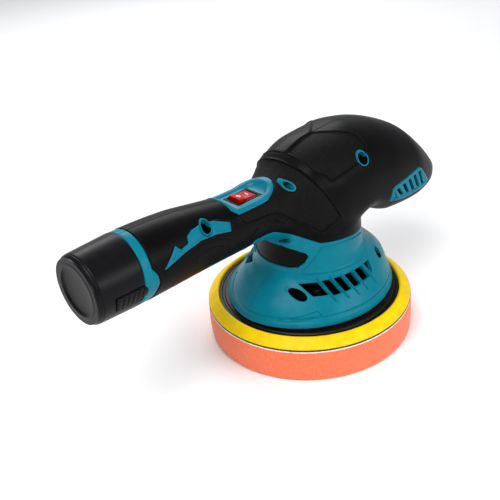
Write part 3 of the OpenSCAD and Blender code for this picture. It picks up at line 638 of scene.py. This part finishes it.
def piece(name, part, slot, body, replaces=(), extra=None, angle=36):
    """Makes the Blender piece from (points, faces) in millimetres. extra is a second slot and
    the signed distance of the faces that take it."""
    points, faces = part
    mesh = bpy.data.meshes.new(name)
    mesh.from_pydata((points * MM).tolist(), [], faces.tolist())
    mesh.validate()
    mesh.materials.append(MAT[slot])
    if extra:
        mesh.materials.append(MAT[extra[0]])
        centres = np.empty(len(mesh.polygons) * 3)
        mesh.polygons.foreach_get("center", centres)
        second = extra[1](centres.reshape(-1, 3) / MM) > 0
        mesh.polygons.foreach_set("material_index", second.astype(np.int32))
    mesh.shade_smooth()
    mesh.set_sharp_from_angle(angle=math.radians(angle))
    obj = bpy.data.objects.new(name, mesh)
    bpy.context.scene.collection.objects.link(obj)
    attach(obj, body)
    if replaces:
        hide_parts(*replaces)
    return obj


for entry in frame["record"]["subparts"]:
    node = NODES[entry["node"]]
    node.data.materials.clear()
    node.data.materials.append(MAT[entry["material_slot"]])

# ---------------------------------------------------------------- housing
points, faces = surface_nets(form_field, (-162, -62.5, 30), (120, 2.5, 153), STEP)
base = Sheet(points, faces, form_field)
base.settle(slice(None))
base.settle(slice(None))
base.keep(lambda p: -p[:, 1])
base.keep(both(ahead_of_ring, lambda p: p[:, 2] - SKIRT_Z))
SEAM = ((0, -0.32), (0.3, -0.06), (0.75, 0))
ROLLED = ((0, -0.5), (0.3, -0.14), (0.85, 0))


def from_seam(p):
    return -p[:, 1]


def surface_y(x, z):
    """Where the near side's surface lies at each (x, z), by halving."""
    low, high = np.full(len(x), -64.0), np.zeros(len(x))
    for _ in range(30):
        mid = (low + high) / 2
        out = form_field(x, mid, z) > 0
        low, high = np.where(out, mid, low), np.where(out, high, mid)
    return high


def screw_well(x, z, r):
    """Tube from the surface down to the screw's head. A ring's depth is below the surface,
    or level with the head if it is None, or beyond the head if it is negative."""
    a = np.linspace(0, 2 * math.pi, 40, endpoint=False)
    rings = []
    for radius, depth in ((r, 0.25), (r, None), (1.7, None), (1.7, -1.6), (r + 0.9, -1.6),
                          (r + 0.9, 0.6)):
        px, pz = x + radius * np.cos(a), z + radius * np.sin(a)
        deep = depth is None or depth < 0
        y = np.full(40, HEAD_Y - (depth or 0)) if deep else surface_y(px, pz) + depth
        rings.append(np.stack([px, y, pz], 1))
    return loft(rings, loop=True)


def bay_liner():
    """Half of the tube that the battery's stem slides into, with its end wall."""
    a = np.radians(np.linspace(-90, 90, 48))
    rings = []
    for r, x in ((BAY_R, RING_X + 2), (BAY_R, BAY_END), (12, BAY_END), (12, BAY_END + 1.6),
                 (BAY_R + 1.4, BAY_END + 1.6), (BAY_R + 1.4, RING_X + 2)):
        rings.append(np.stack([np.full(48, float(x)), -r * np.cos(a), BAY_Z + r * np.sin(a)], 1))
    return loft(rings, loop=True)


def housing_sheet(near):
    s = base.copy()
    s.keep(outside(both(button_area, lambda p: NOTCH_X - p[:, 0])))
    s.keep(outside(either(vent_area, slot_area, grown(surround_area, -1.3))))
    if near:
        s.keep(outside(screw_holes))
    s.relief(from_seam, *SEAM)
    s.relief(outside(black_area), *ROLLED)
    s.relief(ahead_of_ring, *ROLLED)
    s.relief(lambda p: p[:, 2] - SKIRT_Z, (0, -0.5), (0.6, 0))
    s.relief(lambda p: p[:, 2], (39.7, 0), (40.1, -0.5), (40.8, 0))    # groove over the rim
    s.relief(collar_area, (0, -0.25), (0.35, 0.6), (0.9, 0.75), (1.5, 0.5))
    s.relief(side(RIM_WEDGE), (0, 0), (0.3, -0.8))
    s.relief(fin_area, (0, 0), (0.3, 0.9), (0.65, 1.2))
    s.relief(grown(slot_area, 0.8), (0, 0), (0.8, -0.3))
    s.level(black_area, -SKIN - 0.06)
    s.level(finger_area, -2.3)
    if near:
        s.level(both(screw_rims, black_area), 0.12)
    return s


def painted_well_shade(p):
    """Signed distance inside the part of a screw well below its teal band, which is coloured black
    as painted shade.
    """
    return -form_field(*p.T) - TEAL_BAND


liner = bay_liner()
wells = [screw_well(*screw) for screw in SCREWS]
near_shell = housing_sheet(True).solid(SHELL, SKIRT_Z)
far_shell = housing_sheet(False).solid(SHELL, SKIRT_Z)
# the wells' walls below the teal band take the black plastic: painted shade in the screw holes
piece("near_housing", joined(near_shell, liner, *wells), "teal_shell", "housing",
      ["right_housing"], ("black_plastic", both(grown(screw_holes, 0.3), painted_well_shade)))
piece("far_housing", mirrored(joined(far_shell, liner)), "teal_shell", "housing",
      ["left_housing"])


def skin_sheet(near):
    s = base.copy().keep(black_area)
    s.keep(outside(either(vent_area, trim_area, surround_area)))
    edge = both(black_area, outside(vent_area), outside(trim_area), outside(surround_area))
    if near:
        s.keep(outside(grown(screw_rims, 0.06)))
        edge = both(edge, outside(grown(screw_rims, 0.06)))
    s.relief(from_seam, (0, -0.2), (0.3, 0))
    s.relief(edge, *ROLLED)
    for panel in (shoulder_area, neck_area):
        s.relief(panel, (-0.9, 0), (-0.4, 0.35), (0, 0.15), (0.4, -0.7), (1.0, -0.5))
    for mark in NECK_MARKS:
        s.relief(side(mark), (0, 0), (0.3, -0.5))
    for r in (30, 34.5):
        s.relief(line(arc(-108, 88, r, 35, 110), 0.5), (0, 0), (0.35, -0.4))
    return s


panels = either(shoulder_area, neck_area)
piece("near_overmould", skin_sheet(True).solid(SKIN), "black_grip", "housing",
      ["right_overmould"], ("black_stipple", panels))
piece("far_overmould", mirrored(skin_sheet(False).solid(SKIN)), "black_grip", "housing",
      ["left_overmould"], ("black_stipple", panels))


def whole(sheet):
    """The near half and its mirror as one sheet, joined along the seam."""
    n = len(sheet.p)
    onto = np.where(sheet.p[:, 1] > -1e-4, np.arange(n), np.arange(n) + n)
    new = Sheet(np.concatenate([sheet.p, sheet.p * [1, -1, 1]]),
                np.concatenate([sheet.f, onto[sheet.f][:, ::-1]]), sheet.field)
    new.fixed = np.concatenate([sheet.fixed, sheet.fixed])
    return new.keep(lambda p: np.ones(len(p)))


rest = whole(base.copy().keep(grown(finger_area, -0.3)).finer())
rest.relief(grown(finger_area, -0.3), (0, -1.6), (0.5, -1.0), (7, -1.5))
piece("finger_insert", rest.solid(2.25), "black_grip", "housing", ["finger_rest"])

hole = circle(SCREWS[5][0], SCREWS[5][1], TRIM_HOLE)
for end, cad in (("near", "right"), ("far", "left")):
    turn_over = mirrored if end == "far" else (lambda part: part)
    vent = base.copy().keep(grown(vent_area, -GAP)).finer().keep(outside(vent_windows))
    vent.relief(vent_area, (GAP, -0.3), (0.4, 0.2), (0.9, 0.3), (1.9, 0.3), (2.5, -0.35))
    vent.relief(grown(vent_windows, 0.5), (0, 0), (0.5, -0.2))
    vent.relief(vent_corner, (0, 0), (0.3, -0.9))
    piece(end + "_vent", turn_over(vent.solid(2.8)), "teal_trim", "housing",
          [cad + "_nose_vent"])
    trim = base.copy().keep(grown(trim_area, -GAP)).finer().keep(outside(hole))
    trim.relief(both(trim_area, outside(hole)), (GAP, -0.3), (0.35, 0.1), (1.5, 0.62),
                (1.75, 0.3))
    piece(end + "_grip_trim", turn_over(trim.solid(SKIN)), "teal_trim", "housing",
          [cad + "_grip_trim"])

# ---------------------------------------------------------------- switch
def pocket_warp(moved, at):
    """Slopes the frame down to the switch and curves it up again ahead of it."""
    ahead = np.clip((at[:, 0] - POCKET_X) / 12, 0, 1.2)
    floor = POCKET_Z + 8.2 * ahead ** 2.2
    blend = np.clip((above(SURROUND)(at) - 1.4) / 4.8, 0, 1)
    depth = np.maximum(at[:, 2] - floor, 0) * blend * (1 - 0.25 * np.sin(math.pi * blend))
    out = moved.copy()
    out[:, 2] -= depth
    return out


bezel_hole = both(above([[SW_X - 10.6, -7.6], [SW_X + 10.6, -7.6], [SW_X + 10.6, 7.6],
                         [SW_X - 10.6, 7.6]]), lambda p: p[:, 2] - SWITCH_Z)
surround = whole(base.copy().keep(grown(surround_area, -GAP)).finer())
surround.keep(outside(bezel_hole))
surround.relief(surround_area, (GAP, -0.3), (0.4, 0.15), (0.8, 0.3), (1.4, 0.25))
piece("switch_frame", surround.solid(1.3, warp=pocket_warp), "teal_trim", "housing",
      ["switch_surround"])

bezel = loft([rounded_box_ring(SW_X, 0, hx, hy, r, z) for hx, hy, r, z in (
    (8.4, 5.6, 0.4, 119.5), (8.4, 5.6, 0.4, 126.5), (8.7, 5.9, 0.6, 127.0),
    (10.1, 7.1, 0.9, 127.0), (10.5, 7.5, 1.2, 126.5), (10.5, 7.5, 1.2, 125.4),
    (9.6, 6.6, 0.5, 125.0), (9.6, 6.6, 0.5, 113.4), (8.4, 5.6, 0.4, 113.4))][::-1], loop=True)
cup_floor = loft([rounded_box_ring(SW_X, 0, 8.5, 5.7, 0.4, z) for z in (118.6, 119.6)])
piece("switch_case", joined(bezel, cup_floor), "black_plastic", "housing", ["switch_body"])

ROCK = [[-7.1, 1.3], [-7.1, 4.1], [-6.3, 4.4], [0, 2.7], [6.6, 2.3], [7.6, 1.9], [7.4, 0.6],
        [4, -3.2], [-4, -3.6]]


def rocker_part():
    """The lever, extruded across with softened sides."""
    rings = []
    centre = np.mean(ROCK, 0)
    for y, inset in ((-5.3, 0.35), (-5.2, 0.12), (-4.95, 0), (4.95, 0), (5.2, 0.12), (5.3, 0.35)):
        ring = [[SW_X + x - math.copysign(inset, x - centre[0]), y,
                 ROCKER_Z + z - math.copysign(inset, z - centre[1])] for x, z in ROCK]
        rings.append(ring)
    pin = [[[SW_X + 1.2 * math.cos(a), y, ROCKER_Z + 1.2 * math.sin(a)]
            for a in np.linspace(0, 2 * math.pi, 24, endpoint=False)] for y in (-6.2, 6.2)]
    return joined(loft(rings), loft(pin))


piece("rocker_lever", rocker_part(), "red_rocker", "rocker", ["rocker"], angle=24)

# ---------------------------------------------------------------- battery
def barrel(x0, x1, spacing=0.7, around=200):
    """Open cylinder on the battery's axis, as a sheet."""
    xs = np.arange(x0, x1 + spacing, spacing)
    a = np.linspace(0, 2 * math.pi, around, endpoint=False)
    rings = [np.stack([np.full(around, x), BATT_R * np.cos(a), CAP_Z + BATT_R * np.sin(a)], 1)
             for x in xs]
    p, f = loft(rings, caps=False)
    return Sheet(p, f[:, ::-1], barrel_field)


# the cap tapers and rounds over: distance ahead of its rear, distance inside its full radius
CAP_TAPER = [(0, 5.4), (0.5, 3.4), (1.3, 2.1), (2.6, 1.25), (4.2, 0.95), (6.5, 0.85), (18, 0.4),
             (30, 0)]
CAP_FACE = [(17.7, 0.0), (16.8, -0.25), (15.6, -0.1), (14.6, 0.9), (13.2, 1.2), (4, 1.5),
            (0.2, 1.5), (0.2, 2.9), (17.7, 2.9)]    # radius, distance ahead of the rear


def taper(p, h):
    return h - np.interp(p[:, 0] - CAP_END, *zip(*CAP_TAPER))


def clear_of_ring(p):
    return -ahead_of_ring(p) - CAP_GAP


def cap_ring(r, ahead, around=200):
    a = np.linspace(0, 2 * math.pi, around, endpoint=False)
    return np.stack([np.full(around, CAP_END + ahead), r * np.cos(a),
                     CAP_Z + r * np.sin(a)], 1)


def battery_parts():
    """The cap's wall, open at both catches, and its end face."""
    s = barrel(CAP_END, RING_X + 3)
    for ahead, _ in CAP_TAPER[1:5]:
        s.cut(lambda p: p[:, 0], CAP_END + ahead)
    s.keep(clear_of_ring)
    s.relief(clear_of_ring, (0, -0.6), (0.3, -0.2), (0.9, 0))
    s.reliefs.append(taper)
    catch = either(*[both(button_area, lambda p, k=k: k * p[:, 1]) for k in (-1, 1)])
    s.keep(outside(grown(catch, CAP_GAP)))
    s.relief(grown(catch, CAP_GAP), (-0.5, 0), (0, -0.4))
    s.relief(lambda p: p[:, 0], (RING_X - 28.6, 0), (RING_X - 28.2, -0.25), (RING_X - 27.8, 0))
    return joined(s.solid(2.4), loft([cap_ring(*row) for row in CAP_FACE], loop=True))


piece("battery_cap", battery_parts(), "battery_black", "battery", ["battery_case"])
RIBS = [line([[x, 106], [x + 3.4, 118]], 0.45) for x in (-171.5, -168, -164.5, -161, -157.5)]
for k, end in ((-1, "right"), (1, "left")):
    catch = barrel(RING_X - 22, RING_X + 4, 0.5, 320)
    catch.keep(both(grown(button_area, -0.2), lambda p, k=k: k * p[:, 1]))
    catch.relief(button_area, (0.2, -0.5), (0.5, 0.05), (1.0, 0.3))
    for rib in RIBS:
        catch.relief(rib, (-0.5, 0), (0, -0.15), (0.3, -0.55))
    piece(end + "_catch", catch.solid(1.2), "battery_black", end + "_button",
          [end + "_release_button"])

# ---------------------------------------------------------------- pad stack
AXIS = (0.0, ORBIT)
foam_edge = ([[0.3, 0.0], [PAD_R - 3.0, 0.0]]
             + [[PAD_R - 2.4 + 2.4 * math.sin(math.radians(a)) - 0.2,
                 2.4 - 2.4 * math.cos(math.radians(a))] for a in range(10, 91, 16)]
             + [[PAD_R, 8], [PAD_R + 0.25, 14], [PAD_R - 0.1, 20], [PAD_R - 0.5, PAD_H],
                [0.3, PAD_H]])
foam = piece("polishing_foam", turned(along_profile(foam_edge, 1.3), AXIS, 360, rough=0.07),
             "orange_foam", "pad", ["foam_pad"], angle=50)
piece("loop_backing", turned(along_profile([[0.3, PAD_H], [PAD_R - 0.7, PAD_H],
                                            [PAD_R - 0.2, PAD_H + 0.4], [PAD_R - 0.3, PAD_H + 1.2],
                                            [PAD_R - 0.9, PAD_H + 1.4], [0.3, PAD_H + 1.4]], 0.6),
                             AXIS, 360, rough=0.09), "pale_loop", "pad", ["loop_layer"], angle=60)
piece("hook_face", turned(along_profile([[0.3, PAD_H + 1.4], [PAD_R - 0.4, PAD_H + 1.4],
                                         [PAD_R - 0.1, PAD_H + 1.7], [PAD_R - 0.15, PAD_H + 2.5],
                                         [0.3, PAD_H + 2.5]], 0.6), AXIS, 360, rough=0.06),
      "hook_black", "pad", ["hook_disc"], angle=60)
cushion = [[0.3, 26], [74.2, 26], [74.7, 26.3], [74.75, 26.9], [74.4, 27.5], [72, 29.6],
           [69.7, 31.5], [69.0, 31.95], [68.3, 32.35], [67.7, 32.5], [67.2, 32.35],
           [66.9, 31.9], [66.5, 31.5], [66.4, 28], [0.3, 28]]
yellow = piece("backing_cushion", turned(cushion, AXIS, 300), "yellow_foam", "pad",
               ["backing_foam"], angle=40)
plate = [[0.3, 28], [66.3, 28], [66.35, 30.0], [65.9, 30.5], [64.6, 30.7], [63.8, 30.2],
         [62.6, 30.2], [61.9, 30.9], [60.5, 31.2], [34, 31.2], [32, 31.8], [0.3, 31.8]]
piece("plate", turned(plate, AXIS, 240), "plate_nylon", "pad", ["backing_plate"], angle=30)

# ---------------------------------------------------------------- floor, lights and camera
bpy.ops.mesh.primitive_grid_add(size=12, x_subdivisions=4, y_subdivisions=4)
floor = bpy.context.object
floor.name = "floor"
floor.data.materials.append(material("pale_floor", linear(246, 246, 246), linear(250, 250, 250),
                                     400, 0.7, 0.02, 4))

world = bpy.data.worlds.new("studio")
bpy.context.scene.world = world
world.use_nodes = True
world.node_tree.nodes["Background"].inputs["Color"].default_value = (0.95, 0.97, 1.0, 1)
world.node_tree.nodes["Background"].inputs["Strength"].default_value = 0.46


def softbox(name, place, aim, width, height, watts):
    light = bpy.data.lights.new(name, "AREA")
    light.shape, light.size, light.size_y, light.energy = "RECTANGLE", width, height, watts
    obj = bpy.data.objects.new(name, light)
    bpy.context.scene.collection.objects.link(obj)
    obj.location = place
    obj.rotation_euler = (Vector(aim) - Vector(place)).to_track_quat("-Z", "Y").to_euler()


centre = (0.0, 0.0, 0.08)
softbox("key", (-0.55, -0.25, 0.95), centre, 0.55, 0.55, 8)
softbox("front", (0.25, -1.0, 0.5), centre, 0.7, 0.35, 5)
softbox("rear_rim", (0.5, 0.9, 0.8), centre, 0.9, 0.4, 7)

# the photograph's view, fitted by a program to points picked in it
camera = bpy.data.cameras.new("camera")
camera.lens, camera.sensor_width, camera.clip_start = 58.42, 36, 0.01
view = bpy.data.objects.new("camera", camera)
bpy.context.scene.collection.objects.link(view)
right = Vector((0.72792, -0.68086, -0.08100))
up = Vector((0.39461, 0.31939, 0.86155))
look = Vector((0.56073, 0.65910, -0.50117))
turn = Matrix((right, up, -look)).transposed().to_4x4()
view.matrix_world = Matrix.Translation((-0.36003, -0.35878, 0.35884)) @ turn
bpy.context.scene.camera = view
bpy.context.scene.view_settings.view_transform = "Standard"
